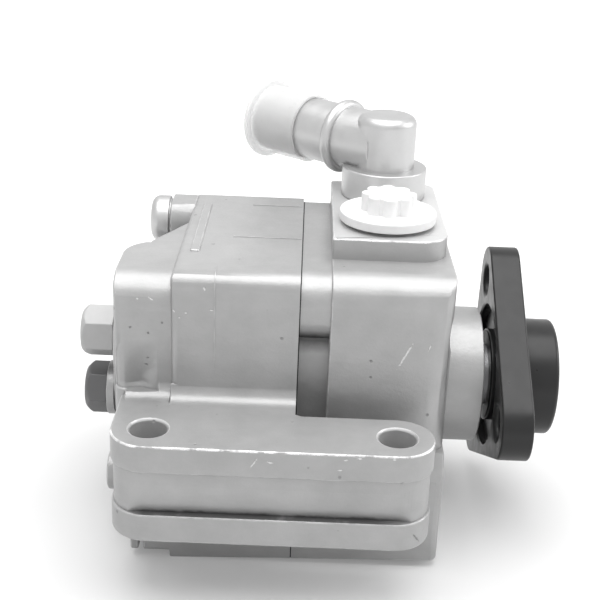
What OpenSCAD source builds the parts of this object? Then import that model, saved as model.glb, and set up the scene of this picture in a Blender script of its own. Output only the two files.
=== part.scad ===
// Power steering pump, vane type, with a three-lobed drive flange and a side mounting foot.
// Millimetres. The origin is on the shaft axis in the flange's pulley face.
// +X runs out along the shaft, the foot's screw holes are vertical, +Z is up.

/* [Drive flange] */
// Thickness of the three-lobed plate
flange_t = 8.3; // [6:0.1:14]
// Pitch circle of the pulley screws
pulley_pcd = 54; // [46:0.5:66]
// Bore of each pulley screw hole
pulley_hole_d = 8.4; // [5:0.1:11]
// Round of each lobe about its hole
lobe_r = 9.6; // [8:0.1:12]
// Angle of the first lobe, from +Y toward +Z
lobe_turn = 63; // [0:1:119]
// Diameter of the pilot hub that centres the pulley
pilot_d = 32.6; // [28:0.1:36]
// Length of the pilot hub past the pulley face
pilot_len = 10; // [5:0.1:16]
// Diameter of the cup inside the pilot hub
pilot_cup_d = 24; // [20:0.5:26]
// Depth of that cup
pilot_cup_depth = 6; // [2:0.5:8]
// Diameter of the recess in the back of the plate
back_recess_d = 40; // [30:0.5:44]
// Depth of that recess
back_recess_depth = 2.4; // [1:0.1:4]
// Edge break of holes and rims
edge_break = 0.8; // [0.3:0.1:1.5]

/* [Shaft and bearings] */
// Diameter of the front journal and flange seat
shaft_d = 17; // [14:0.1:18]
// Diameter of the rear journal
tail_d = 13; // [11:0.1:14]
// Number of spline teeth under the rotor
spline_teeth = 8; // [6:1:10]
// Depth of the spline teeth
spline_depth = 1; // [0.6:0.1:1.3]
// Width of a spline tooth
spline_w = 2.4; // [1.8:0.1:3]
// Wall of the front bearing bush
bush_wall = 3; // [2:0.1:4]
// Length of the front bearing bush
front_bush_len = 22; // [14:0.5:28]
// Wall of the rear bearing bush
tail_bush_wall = 2; // [1.5:0.1:3]
// Length of the rear bearing bush
tail_bush_len = 8; // [5:0.5:10]
// Radial running clearance of a journal
run_clear = 0.04; // [0.02:0.01:0.09]
// Outer diameter of the shaft seal
seal_d = 30; // [27:0.5:32]
// Width of the shaft seal
seal_w = 7; // [5:0.5:8]
// Thickness of a retaining ring
clip_t = 1.2; // [0.8:0.1:1.5]

/* [Front housing] */
// Diameter of the nose round the shaft seal
nose_d = 38; // [36:0.5:46]
// Length of the nose
nose_len = 11; // [10:0.5:16]
// Gap from the nose to the back of the flange
flange_gap = 2.7; // [1:0.1:5]
// Length of the front housing without its nose
front_len = 39.2; // [38:0.5:46]
// Width of the recessed band beside the joint face
band_w = 7.6; // [3:0.1:12]
// Depth of that band
band_depth = 0.8; // [0.3:0.1:1.5]
// Extra depth of the hollow low in that band
hollow_depth = 3; // [0.6:0.1:3]
// Round of the wall that runs into the hollow
hollow_round = 7; // [5:0.5:12]
// Height over the shaft axis at which that round starts
hollow_up = 27.6; // [26:0.2:31]
// Round of the front housing's top front edge
front_round = 8; // [3:0.5:10]
// Round of the upright edges at the nose end
end_round = 6; // [2:0.5:9]
// Round of the lower front wall's end there
toe_round = 2; // [1:0.5:4]

/* [Housing section] */
// Reach of the housings to the front, from the shaft axis
side_front = 32; // [31.5:0.5:36]
// Reach of the housings to the back
side_back = 37; // [35:0.5:42]
// Reach up to the top face
top_h = 39.2; // [38:0.5:44]
// Reach down to the base, at its rear end
base_h = 41.3; // [38:0.1:46]
// Draft of the base, which rises towards the nose (degrees)
base_draft = 1.65; // [0:0.05:2]
// Extra reach of the lower front wall
toe_out = 4; // [1:0.5:5]
// Round of the rear housing's top front edge
top_round = 4.5; // [2:0.5:8]
// Round of the top back edge
back_round = 3; // [1:0.5:6]

// Height of the lower rear foot over the base
rear_toe_up = 1.9; // [0.5:0.1:3]
// Slot beside that foot, from the step to its rear wall
toe_slot_x = 8.4; // [6:0.1:9]
// Width of that slot
toe_slot_w = 1.3; // [0.6:0.1:2]
// Depth of that slot
toe_slot_deep = 4; // [2:0.5:6]
// Height of that slot
toe_slot_h = 5; // [2:0.5:7]

/* [Port block] */
// Height of the port block over the top face
port_rise = 5.6; // [3:0.1:9]
// Length of the port block along the shaft
port_len = 31; // [30:0.5:34]
// Reach of the port block to the front
port_front = 16.6; // [15:0.2:20]
// Round of its front corner on the nose side
port_round = 8; // [3:0.5:10]
// Distance of the port axes from the nose end of the block
port_axis = 15.6; // [14.5:0.1:17]
// Place of the pressure port to the front of the shaft axis
outlet_front = 1.5; // [0:0.1:3]
// Place of the suction port to the back of the shaft axis
inlet_back = 24.2; // [24:0.1:24.4]
// Thread bore of the pressure port
outlet_d = 14.6; // [12:0.1:16]
// Depth of that thread bore
outlet_depth = 10; // [8:0.5:11]
// Spot face of the pressure port
outlet_spot_d = 19; // [18:0.5:20]
// Depth of that spot face
outlet_spot_depth = 4; // [3:0.5:5]
// Diameter of the drilled pressure way
gallery_d = 7; // [4:0.5:8]

/* [Rear housing] */
// Length of the full section of the rear housing
main_len = 32.5; // [31.5:0.1:38]
// Round of its rear edges
step_round = 2.2; // [1:0.1:3]
// Length of the end lobe behind the full section
lobe_len = 14.8; // [14:0.5:20]
// Reach of the end lobe to the front
lobe_front = 30.6; // [28:0.2:31.4]
// Height of the end lobe over the shaft axis
lobe_h = 37; // [32:0.5:38]
// Distance of its back face in front of the shaft axis
lobe_back = 1.5; // [0:0.5:10]
// Round of its top front edge
lobe_round = 9; // [4:0.5:12]
// Round of its upright back corner
lobe_corner = 10; // [4:0.5:12]
// Round of its upright front corner
lobe_edge = 3; // [1:0.5:5]
// Reach of the web that joins the lobe to the valve side, behind the shaft axis
web_back = 15; // [8:0.5:20]
// Length of that web along the shaft
web_len = 8.4; // [4:0.2:10]
// Height of that web
web_h = 18; // [10:0.5:22]
// Radius of the hollow low in the lobe's front wall
scoop_r = 34; // [20:1:40]
// Depth of that hollow
scoop_depth = 2.8; // [1:0.1:3]
// Height of the ledge under it, over the foot's top face
scoop_ledge = 1.4; // [0.5:0.1:3]
// Wall left between that hollow and the full section
scoop_gusset = 3; // [2:0.2:6]
// Round of the hollow's end at that wall
scoop_round = 6; // [3:0.5:8]
// Radius of the low round boss that carries the pad
low_boss_r = 27; // [24:0.5:30]
// Thickness of the pad under the plug and the bleed screw
pad_t = 4.2; // [3:0.1:8]
// Radius of the ends of that pad
pad_r = 7.2; // [6.5:0.1:8.5]
// Distance of the plug and the bleed screw from the shaft axis
pad_pitch = 8.9; // [8.6:0.1:12]
// Wall of the cast boss round the valve bore
valve_boss_wall = 2.6; // [2:0.1:3]
// Length of that boss behind the full section
valve_boss_len = 6.4; // [5:0.2:12]

/* [Mounting foot] */
// Pitch of the two mounting holes
foot_pitch = 61.2; // [56:0.2:64]
// Bore of each mounting hole
foot_hole_d = 9; // [6.6:0.1:11]
// Chamfer of the mounting holes
foot_hole_chamfer = 0.7; // [0.3:0.1:1.2]
// Half width of the foot, which is also the round of its ends
foot_r = 9.4; // [8:0.1:10.5]
// Distance of the holes from the shaft axis
foot_out = 48.4; // [47.5:0.1:54]
// Height of the foot's top face over the shaft axis
foot_top = 5; // [0:0.5:8]
// Height of the foot
foot_h = 26.7; // [20:0.1:30]
// Distance of the rear hole behind the joint face
foot_rear = 35.9; // [31:0.1:38]
// Height of the foot's upper edge band
foot_lip = 7.4; // [4:0.1:10]
// Height of the foot's lower edge band
foot_sole = 7.6; // [4:0.1:10]
// Set back of the side between the two bands
foot_inset = 0.6; // [0.2:0.1:1.5]
// Radius of the cove over the lower band
cove_r = 16; // [8:0.5:20]
// Depth of that cove
cove_depth = 2.2; // [1:0.1:3]
// Fillet between the foot and the housing wall
foot_fillet = 4; // [2:0.5:6]

/* [Vane cartridge] */
// Diameter of the cartridge pot
pot_d = 51; // [50:0.2:52]
// Thickness of the front plate
front_plate_t = 6; // [5:0.5:7]
// Width of the cam ring
cam_w = 17; // [14:0.5:18]
// Thickness of the pressure plate
pressure_plate_t = 6; // [5:0.5:7]
// Height of the disc spring behind the pressure plate
disc_spring_h = 2.4; // [1.8:0.1:3]
// Sheet of that disc spring
disc_spring_t = 1; // [0.8:0.1:1.2]
// Smallest radius of the cam ring's track
cam_minor_r = 18.2; // [18:0.1:18.5]
// Largest radius of the cam ring's track
cam_major_r = 20.4; // [19.5:0.1:21]
// Clearance of the rotor to the smallest radius
rotor_clear = 0.4; // [0.3:0.05:0.6]
// Number of vanes
vane_n = 10; // [10:1:10]
// Thickness of a vane
vane_t = 1.8; // [1.4:0.1:2.2]
// Length of a vane along its slot
vane_h = 7.8; // [6:0.1:8]
// Side clearance of a vane in its slot
vane_clear = 0.05; // [0.03:0.01:0.1]
// Room under a vane when it stands out
vane_room = 0.9; // [0.7:0.1:1.2]
// End clearance of the rotor and vanes
end_clear = 0.05; // [0.03:0.01:0.1]
// Clearance of the cartridge plates in the pot
plate_clear = 0.1; // [0.05:0.05:0.2]
// Diameter of the two dowel pins
dowel_d = 4; // [3:0.1:4.4]
// Distance of the dowel pins from the shaft axis
dowel_out = 22; // [21.8:0.1:22.4]
// Depth of the dowel pins in the front housing
dowel_depth = 5; // [3:0.5:8]
// Section of the pressure plate's seal ring
plate_seal_d = 2; // [1.6:0.1:2.4]

/* [Joint] */
// Thickness of the gasket between the housings
gasket_t = 0.3; // [0.3:0.1:1]
// Screw positions to the front and back
screw_y = 22.4; // [22:0.1:24.4]
// Screw positions up and down
screw_z = 24.2; // [24:0.1:24.6]
// Thread diameter of the housing screws
screw_d = 8; // [6:0.5:8]
// Depth of the screw heads under the nose end face
head_sink = 1; // [0.5:0.1:2]
// Thread length of the screws in the rear housing
screw_hold = 23; // [14:0.5:24]
// Radial clearance of the screws in the front housing
screw_clear = 0.4; // [0.2:0.1:0.5]
// Small clearance of threads, dowels and spigots
fit_clear = 0.05; // [0.03:0.01:0.1]

/* [Flow control valve] */
// Distance of the valve bore to the back of the shaft axis
valve_back = 29.5; // [29.5:0.1:31]
// Height of the valve bore over the shaft axis
valve_up = 33; // [32.5:0.1:34]
// Diameter of the valve bore
valve_d = 10; // [8:0.2:10.4]
// Length of the spool
spool_len = 14; // [12:0.5:16]
// Travel of the spool
spool_travel = 6; // [3:0.5:6]
// Length of the plug's thread
plug_len = 8; // [6:0.5:9]
// Diameter of the plug's domed head
plug_head_d = 13.6; // [12:0.2:15]
// Thickness of that head
plug_head_t = 6; // [4:0.2:8]
// Round of its rim
plug_head_round = 2.5; // [1:0.1:3.5]
// Width of the relief under that head
plug_relief_w = 0.5; // [0.3:0.1:1]
// Depth of that relief
plug_relief = 0.9; // [0.5:0.1:1]
// Wire of the valve spring
spring_wire = 1.1; // [0.8:0.1:1.2]
// Coils of the valve spring
spring_turns = 5; // [4:1:6]
// Section of the plug's seal ring
plug_seal_d = 1.6; // [1.2:0.1:1.8]

/* [Rear plug and bleed screw] */
// Across flats of both hexagons
hex_af = 13; // [10:0.5:14]
// Height of the gallery plug's hexagon
plug_hex_h = 9.2; // [5:0.2:10]
// Chamfer of the outer end of both hexagons
hex_chamfer = 0.8; // [0.4:0.1:1.2]
// Height of the bleed screw's head
bleed_head_h = 6.4; // [4:0.2:7]
// Thickness of the sealing washer
washer_t = 2.2; // [1:0.1:2.5]
// Outer diameter of the sealing washer
washer_d = 15.4; // [13:0.2:16.8]
// Length of both threads
rear_thread_len = 11; // [8:0.5:12]
// Diameter of both threads
rear_thread_d = 8; // [6:0.5:9]

/* [Suction elbow and caps] */
// Diameter of the elbow's collar
collar_d = 24.2; // [21:0.2:24.4]
// Height of the collar
collar_h = 8.6; // [6:0.2:11]
// Diameter of the upright part
upright_d = 16.8; // [15:0.2:20]
// Height of the upright part over the collar
upright_h = 14.8; // [14:0.2:20]
// Round of its top rim
upright_round = 2.6; // [1:0.1:4]
// Diameter of the suction pipe
pipe_d = 18; // [16:0.2:18]
// Wall of the suction pipe
pipe_wall = 1.6; // [1.2:0.1:2.4]
// Height of the pipe's axis over the collar
pipe_up = 5.6; // [5:0.1:10]
// Turn of the pipe toward the back, from -X
pipe_turn = 40; // [20:1:60]
// Length of the pipe from the elbow's axis
pipe_len = 43; // [36:0.5:50]
// Distance of the hose bead from the elbow's axis
bead_at = 15; // [14:0.5:22]
// Section of the hose bead
bead_d = 3.4; // [2:0.1:4]
// Diameter of the elbow's spigot in the port block
spigot_d = 17.6; // [16:0.2:18]
// Length of that spigot
spigot_len = 9; // [8:0.2:10]
// Section of the spigot's seal ring
spigot_seal_d = 2; // [1.6:0.1:2.4]
// Length of the dust cap over the pipe
cap_len = 17.6; // [10:0.2:20]
// Wall of the dust cap
cap_wall = 0.9; // [0.6:0.1:1.4]
// Diameter of the dust cap's end flange
cap_flange_d = 23.4; // [21:0.2:26]
// Thickness of the dust cap's closed end
cap_end_t = 1.4; // [1:0.1:2.5]
// Clearance of the dust cap on the pipe
cap_clear = 0.2; // [0.1:0.05:0.3]
// Diameter of the port plug's disc
stopper_d = 26; // [23:0.2:26]
// Thickness of that disc
stopper_t = 2.6; // [1.6:0.1:3.5]
// Gap under that disc
stopper_gap = 0.9; // [0.4:0.1:1.5]
// Wall of the port plug's skirt
stopper_wall = 1.4; // [1:0.1:2]
// Diameter over the lobes of its knob
knob_d = 14.8; // [13:0.2:18]
// Height of its knob
knob_h = 4.8; // [4:0.2:9]
// Lobes round its knob
knob_lobes = 8; // [6:1:12]
// Clearance of the skirt in its spot face
stopper_clear = 0.3; // [0.2:0.05:0.5]

/* [Hidden] */
ov = 1;
fine = 64;
alu = "Silver";
steel = "Gainsboro";
dark = [0.16, 0.16, 0.17];
rubber = [0.1, 0.1, 0.1];
bronze = [0.7, 0.55, 0.3];
white = "White";
// Stations along the shaft, from the pulley face to the rear
x_back = -flange_t;
x_nose = x_back - flange_gap;
x_end = x_nose - nose_len;
x_joint = x_end - front_len;
x_rear_joint = x_joint - gasket_t;
x_step = x_rear_joint - main_len;
x_lobe = x_step - lobe_len;
x_pad = x_lobe - pad_t;
x_front_plate = x_joint - front_plate_t;
x_cam = x_front_plate - cam_w;
x_pressure_plate = x_cam - pressure_plate_t;
x_pot = x_pressure_plate - disc_spring_h;
x_tail = x_pot - tail_bush_len;
// The seal's groove in the pressure plate; the dowels end in front of it
groove_set = 1.4;
x_groove = x_pressure_plate + groove_set;
plate_groove_w = 1.2 * plate_seal_d;
dowel_room = 0.3;
x_dowel = x_groove + plate_groove_w + dowel_room;
// The seal sits behind its ring in the nose
clip_back = 0.6;
x_clip = x_nose - clip_back - clip_t;
x_seal = x_clip - seal_w;
clip_groove = 0.8;
// The front bush stands clear of the joint face
bush_set = 4;
x_bush = x_joint + bush_set;
bush_r = shaft_d / 2 + run_clear + bush_wall;
tail_bush_r = tail_d / 2 + run_clear + tail_bush_wall;
spline_r = tail_d / 2 + spline_depth;
pot_r = pot_d / 2;
plate_r = pot_r - plate_clear;
rotor_r = cam_minor_r - rotor_clear;
vane_tip_r = cam_minor_r - rotor_clear / 2;
vane_root_r = vane_tip_r - vane_h;
slot_r = vane_root_r - vane_room;
// The port block and its axes
z_port = top_h + port_rise;
x_port_front = x_end - 1.2;
x_port_rear = x_port_front - port_len;
x_port = x_port_front - port_axis;
z_spot = z_port - outlet_spot_depth;
z_thread = z_spot - outlet_depth;
z_outlet_way = bush_r + 4.6 + gallery_d / 2;
// The suction bore ends over the screws and meets the suction way
inlet_d = 13;
suction_way_d = 6.4;
z_inlet = screw_z + screw_d / 2 + screw_clear + 1.6;
z_suction_way = z_inlet + suction_way_d / 2;
suction_way_y = inlet_back - inlet_d / 2 - 1.5;
// Screws
head_d = 1.6 * screw_d;
head_h = screw_d;
head_room = 0.3;
x_head = x_end - head_sink - head_h;
x_screw = x_rear_joint - screw_hold;
screw_places = [for (sy = [-1, 1]) for (sz = [-1, 1]) [sy * screw_y, sz * screw_z]];
// Foot
x_hole_rear = x_rear_joint - foot_rear;
x_hole_front = x_hole_rear + foot_pitch;
z_sole = foot_top - foot_h;
z_cove = z_sole + foot_sole;
z_toe = -base_h * 0.2;
// The web starts inside the lobe's rounded back edge
x_web = x_step - web_len;
web_root = 4;
// Raised bar across the top face of the rear housing
bar_set = 3.3;
bar_w = 2.6;
bar_len = 40;
bar_front = 15;
bar_rise = 0.5;
// Turn of each hexagon from a corner straight up
plug_turn = -7;
bleed_turn = -23;
// Kidney ports of the two plates
kidney_r0 = 15;
kidney_r1 = 19.4;
kidney_half = 20;
kidney_sink = 2;
// Valve bore
valve_r = valve_d / 2;
x_valve_mouth = x_step - valve_boss_len;
x_valve_end = x_valve_mouth + plug_len + spool_travel + spring_turns * spring_wire + 2 + spool_len;
x_spool = x_valve_end - spool_len - 0.3;
x_plug_tip = x_valve_mouth + plug_len;
plug_socket_d = 7;
plug_socket_depth = 4;
spool_shoulder = 4;
spool_wall = 0.9;
spring_clear = 0.25;
// Elbow
z_collar = z_port + collar_h;
z_upright = z_collar + upright_h;
z_pipe = z_collar + pipe_up;
pipe_r = pipe_d / 2;
cap_floor = 0.4;
cap_at = pipe_len + cap_floor + cap_end_t - cap_len;

// A rectangle with its own round at each corner, from the lower left and on round
module round_rect(x0, y0, x1, y1, r) {
  difference() {
    translate([x0, y0]) square([x1 - x0, y1 - y0]);
    translate([x0, y0]) corner_cut(r[0]);
    translate([x1, y0]) mirror([1, 0]) corner_cut(r[1]);
    translate([x1, y1]) mirror([1, 0]) mirror([0, 1]) corner_cut(r[2]);
    translate([x0, y1]) mirror([0, 1]) corner_cut(r[3]);
  }
}

module corner_cut(r) {
  if (r > 0) difference() {
    translate([-ov, -ov]) square(r + ov);
    translate([r, r]) circle(r = r, $fn = fine);
  }
}

// A section drawn in Y and Z, run along the shaft
module along_x(x0, x1) {
  translate([x0, 0, 0]) rotate([90, 0, 90]) linear_extrude(x1 - x0) children();
}

// A plan drawn in X and Y, raised between two heights
module raised(z0, z1) {
  translate([0, 0, z0]) linear_extrude(z1 - z0) children();
}

module x_rod(x0, x1, r, y = 0, z = 0) {
  translate([x0, y, z]) rotate([0, 90, 0]) cylinder(h = x1 - x0, r = r, $fn = fine);
}

module x_cone(x0, x1, r0, r1, y = 0, z = 0) {
  translate([x0, y, z]) rotate([0, 90, 0]) cylinder(h = x1 - x0, r1 = r0, r2 = r1, $fn = fine);
}

module z_rod(z0, z1, r, x, y) {
  translate([x, y, z0]) cylinder(h = z1 - z0, r = r, $fn = fine);
}

// A profile drawn as radius and station, turned about a line along X
module turned_x(y = 0, z = 0) {
  translate([0, y, z]) rotate([0, 90, 0]) rotate_extrude($fn = fine) children();
}

// The run of the suction pipe: its own +Z points out along the pipe
module on_pipe() {
  translate([x_port, inlet_back, z_pipe]) rotate([0, 0, 180 - pipe_turn]) rotate([0, 90, 0]) children();
}

// Section that both housings share but for its top front round, smaller by an inset all round
module housing_section(top_front, inset = 0) {
  round_rect(-side_front + inset, -base_h / 2, side_back - inset, top_h - inset,
    [0, 0, back_round, top_front]);
  round_rect(-side_front + inset, -base_h + inset, side_back - inset, 0,
    [top_round, back_round, 0, 0]);
  polygon([[-side_front + inset, z_toe], [-side_front - toe_out + inset, 1.8 * z_toe],
    [-side_front - toe_out + inset, -base_h + inset], [0, -base_h + inset], [0, z_toe]]);
}

// The band's lower wall lies deeper, under a round that runs into it
module band_hollow() {
  y_band = -side_front + band_depth;
  difference() {
    translate([-side_front - toe_out, z_toe])
      square([toe_out + band_depth + hollow_depth, hollow_up - z_toe]);
    translate([y_band + hollow_round - 0.02, hollow_up]) circle(r = hollow_round, $fn = fine);
  }
}

module screw_bores(x0, x1, r) {
  for (p = screw_places) x_rod(x0, x1, r, p[0], p[1]);
}

// All that lies under the drafted base
module under_base() {
  translate([x_step, -2 * base_h, -base_h]) rotate([0, -base_draft, 0])
    translate([-base_h, 0, -base_h]) cube([4 * base_h, 4 * base_h, base_h]);
}

module front_housing() color(alu) difference() {
  union() {
    intersection() {
      along_x(x_joint, x_end) housing_section(front_round);
      union() {
        raised(z_toe, top_h + ov)
          round_rect(x_joint - ov, -side_front, x_end, side_back, [0, end_round, end_round, 0]);
        raised(-base_h - ov, z_toe)
          round_rect(x_joint - ov, -side_front - toe_out, x_end, side_back, [0, toe_round, end_round, 0]);
      }
    }
    raised(top_h - front_round, z_port)
      round_rect(x_port_rear, -port_front, x_port_front, side_back - 1, [1.5, port_round, 4, 2]);
    x_rod(x_end - ov, x_nose, nose_d / 2);
  }
  under_base();
  // recessed band beside the joint face, down to the foot's lower edge
  along_x(x_joint - ov, x_joint + band_w) difference() {
    translate([-2 * base_h, z_sole]) square(4 * base_h);
    housing_section(front_round, band_depth);
  }
  along_x(x_joint - ov, x_joint + band_w) band_hollow();
  // shaft way, bush seat and seal seat
  x_rod(x_joint - ov, x_nose + ov, shaft_d / 2 + 1);
  x_rod(x_bush, x_bush + front_bush_len, bush_r);
  x_rod(x_seal, x_nose + ov, seal_d / 2);
  x_rod(x_clip, x_clip + clip_t, seal_d / 2 + clip_groove);
  x_cone(x_nose - edge_break, x_nose + ov, seal_d / 2, seal_d / 2 + edge_break + ov);
  // pressure port and its drilled way to the cartridge
  z_rod(z_spot, z_port + ov, outlet_spot_d / 2, x_port, -outlet_front);
  z_rod(z_thread, z_port, outlet_d / 2, x_port, -outlet_front);
  z_rod(z_outlet_way, z_port, gallery_d / 2, x_port, -outlet_front);
  x_rod(x_joint - ov, x_port, gallery_d / 2, -outlet_front, z_outlet_way);
  // suction bore and its way to the joint face
  z_rod(z_port - spigot_len - 0.5, z_port + ov, spigot_d / 2 + fit_clear, x_port, inlet_back);
  z_rod(z_inlet, z_port, inlet_d / 2, x_port, inlet_back);
  x_rod(x_joint - ov, x_port, suction_way_d / 2, suction_way_y, z_suction_way);
  // screws and dowels
  screw_bores(x_joint - ov, x_end, screw_d / 2 + screw_clear);
  screw_bores(x_head, x_end + ov, head_d / 2 + head_room);
  dowel_rods(x_joint - ov, x_joint + dowel_depth, fit_clear);
}

// The foot in plan; its rear half runs back into the rear housing
module foot_plan(inset = 0) {
  r = foot_r - inset;
  translate([x_hole_rear, -foot_out]) circle(r = r, $fn = fine);
  translate([x_hole_front, -foot_out]) circle(r = r, $fn = fine);
  translate([x_hole_rear, -foot_out - r]) square([foot_pitch, 2 * r]);
  translate([x_hole_rear - r, -foot_out])
    square([x_rear_joint - x_hole_rear + r, foot_out - side_front + ov]);
}

module foot() {
  difference() {
    raised(z_sole, foot_top) foot_plan();
    raised(z_cove, foot_top - foot_lip) difference() {
      translate([x_hole_rear - 2 * foot_r, -foot_out - 2 * foot_r])
        square([foot_pitch + 4 * foot_r, 2 * foot_r + foot_out - side_front - foot_inset]);
      foot_plan(foot_inset);
    }
    // cove over the lower band, which runs out at both ends
    intersection() {
      turned_x(-foot_out - foot_r - cove_r + cove_depth, z_cove)
        round_rect(0, x_hole_rear - cove_r, cove_r, x_hole_front + cove_r, [0, cove_r, cove_r, 0]);
      raised(z_cove, foot_top) translate([x_hole_rear - 2 * cove_r, -foot_out - 3 * cove_r])
        square([foot_pitch + 4 * cove_r, 3 * cove_r]);
    }
  }
  foot_blend(x_step, x_rear_joint, side_front);
}

// Concave fillet from the foot up to a housing wall
module foot_blend(x0, x1, wall) {
  along_x(x0, x1) difference() {
    translate([-wall - foot_fillet, foot_top - ov]) square([foot_fillet + ov, foot_fillet + ov]);
    translate([-wall - foot_fillet, foot_top + foot_fillet]) circle(r = foot_fillet, $fn = fine);
  }
}

// Boss of the valve bore, flat where it meets the top face
module valve_boss() {
  r = valve_r + valve_boss_wall;
  intersection() {
    x_rod(x_valve_mouth, x_step + ov, r, valve_back, valve_up);
    translate([x_valve_mouth - ov, valve_back - 2 * r, valve_up - 2 * r])
      cube([valve_boss_len + 3 * ov, 4 * r, top_h - valve_up + 2 * r]);
  }
}

// Full section of the rear housing, with its rear edges rounded
module main_section() difference() {
  along_x(x_step, x_rear_joint) housing_section(top_round);
  raised(foot_top, top_h + ov) translate([x_step, -side_front]) corner_cut(step_round);
  translate([x_step, side_back + ov, top_h]) rotate([90, 0, 0])
    linear_extrude(side_front + side_back + 2 * ov) mirror([0, 1]) corner_cut(step_round);
}

// End lobe with its web, the fillet under its front wall and the hollow cast into that wall
module end_lobe() difference() {
  union() {
    intersection() {
      along_x(x_lobe, x_step + step_round + ov)
        round_rect(-lobe_front, z_sole + ov, -lobe_back, lobe_h, [0, 0, 2, lobe_round]);
      raised(z_sole, lobe_h + ov)
        round_rect(x_lobe, -lobe_front, x_step + step_round + ov, -lobe_back, [lobe_edge, 0, 0, lobe_corner]);
    }
    raised(lobe_h - web_h, lobe_h) polygon([[x_web, -lobe_back - web_root], [x_web, -lobe_back],
      [x_step, web_back], [x_step + step_round + ov, web_back],
      [x_step + step_round + ov, -lobe_back - web_root]]);
    foot_blend(x_hole_rear - foot_r + ov, x_step + ov, lobe_front);
  }
  intersection() {
    x_rod(x_lobe - ov, x_step, scoop_r, -lobe_front - scoop_r + scoop_depth, foot_top + scoop_ledge);
    raised(foot_top + scoop_ledge, lobe_h) round_rect(x_lobe - ov, -foot_out, x_step - scoop_gusset,
      -lobe_front + scoop_depth + ov, [0, 0, scoop_round, 0]);
  }
}

module rear_housing() color(alu) difference() {
  union() {
    main_section();
    end_lobe();
    // low round boss behind the lobe
    turned_x() round_rect(0, x_lobe, low_boss_r, x_step + ov, [0, lobe_edge, 0, 0]);
    // lower rear foot under the lobe
    along_x(x_step - 10.5, x_step + ov)
      round_rect(-side_front - toe_out, rear_toe_up - base_h, side_back - 6, z_sole + 6, [1, 4, 4, 1]);
    // pad of the gallery plug and the bleed screw
    along_x(x_pad, x_lobe + ov) {
      translate([0, pad_pitch]) circle(r = pad_r, $fn = fine);
      translate([0, -pad_pitch]) circle(r = pad_r, $fn = fine);
      translate([-pad_r, -pad_pitch]) square([2 * pad_r, 2 * pad_pitch]);
    }
    // screw boss beside the foot
    x_rod(x_lobe - 3.2, x_step + ov, screw_d / 2 + 1.4, -screw_y, -screw_z + 1.5);
    valve_boss();
    foot();
    // raised bar on the top face
    translate([x_step + bar_set, -bar_front, top_h - ov]) cube([bar_w, bar_len, ov + bar_rise]);
  }
  // cartridge pot and rear bush seat
  x_rod(x_pot, x_rear_joint + ov, pot_r);
  x_rod(x_tail, x_pot + ov, tail_bush_r);
  // mounting holes
  for (x = [x_hole_rear, x_hole_front]) {
    z_rod(z_sole - ov, foot_top + ov, foot_hole_d / 2, x, -foot_out);
    translate([x, -foot_out, foot_top - foot_hole_chamfer])
      cylinder(h = 2 * foot_hole_chamfer, r1 = foot_hole_d / 2, r2 = foot_hole_d / 2 + 2 * foot_hole_chamfer,
        $fn = fine);
  }
  // valve bore, its plug seat and its two ways
  x_rod(x_valve_mouth - ov, x_valve_end, valve_r, valve_back, valve_up);
  translate([x_spool + spool_len / 2, 0, valve_up]) rotate([-90, 0, 0])
    translate([0, 0, suction_way_y]) cylinder(h = valve_back - suction_way_y, r = 2.2, $fn = fine);
  translate([x_pot + disc_spring_h / 2, 0, 0]) rotate([-atan2(valve_back, valve_up), 0, 0])
    translate([0, 0, pot_r - ov]) cylinder(h = norm([valve_back, valve_up]) - pot_r + ov, r = 1, $fn = fine);
  // suction way into the pot
  x_rod(x_cam + cam_w / 2, x_rear_joint + ov, suction_way_d / 2, suction_way_y, z_suction_way);
  z_rod(pot_r / 2, z_suction_way, suction_way_d / 2 - 0.5, x_cam + (cam_w + suction_way_d) / 2,
    suction_way_y);
  // tapped holes
  screw_bores(x_screw - 2, x_rear_joint + ov, screw_d / 2 + fit_clear);
  for (s = [-1, 1])
    x_rod(x_pad - ov, x_pad + rear_thread_len + 1, rear_thread_d / 2 + fit_clear, 0, s * pad_pitch);
  under_base();
  // slot at the base
  translate([x_step - toe_slot_x, -side_front - toe_out - ov, rear_toe_up - base_h - ov])
    cube([toe_slot_w, toe_slot_deep + ov, toe_slot_h + ov]);
}

module body_gasket() color(dark) along_x(x_rear_joint, x_joint) difference() {
  housing_section(front_round, band_depth);
  band_hollow();
  circle(r = pot_r, $fn = fine);
  translate([suction_way_y, z_suction_way]) circle(d = suction_way_d, $fn = fine);
  for (p = screw_places) translate(p) circle(r = screw_d / 2 + screw_clear, $fn = fine);
}

module housing_screws() color(dark) for (p = screw_places) translate([0, p[0], p[1]]) difference() {
  union() {
    x_rod(x_screw, x_head + ov, screw_d / 2);
    x_rod(x_head, x_head + head_h, head_d / 2);
  }
  translate([x_head + head_h / 2, 0, 0]) rotate([0, 90, 0]) cylinder(h = head_h, d = 0.86 * screw_d, $fn = 6);
}

module dowel_rods(x0, x1, grow = 0) {
  for (s = [-1, 1]) x_rod(x0, x1, dowel_d / 2 + grow, s * dowel_out, 0);
}

module dowel_pins() color(steel) dowel_rods(x_dowel, x_joint + dowel_depth);

// Kidney ports: one pair opens to suction, the other to pressure
module kidneys(turn) {
  half_w = pot_r * tan(kidney_half);
  for (a = [turn, turn + 180]) intersection() {
    difference() {
      circle(r = kidney_r1, $fn = fine);
      circle(r = kidney_r0, $fn = fine);
    }
    rotate(a) polygon([[0, 0], [pot_r, -half_w], [pot_r, half_w]]);
  }
}

module front_plate() color(steel) difference() {
  x_rod(x_front_plate, x_joint, plate_r);
  x_rod(x_front_plate - ov, x_joint + ov, shaft_d / 2 + 0.5);
  along_x(x_front_plate - ov, x_joint + ov) kidneys(90);
  along_x(x_front_plate - ov, x_front_plate + kidney_sink) kidneys(0);
  dowel_rods(x_front_plate - ov, x_joint + ov, fit_clear);
}

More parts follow.
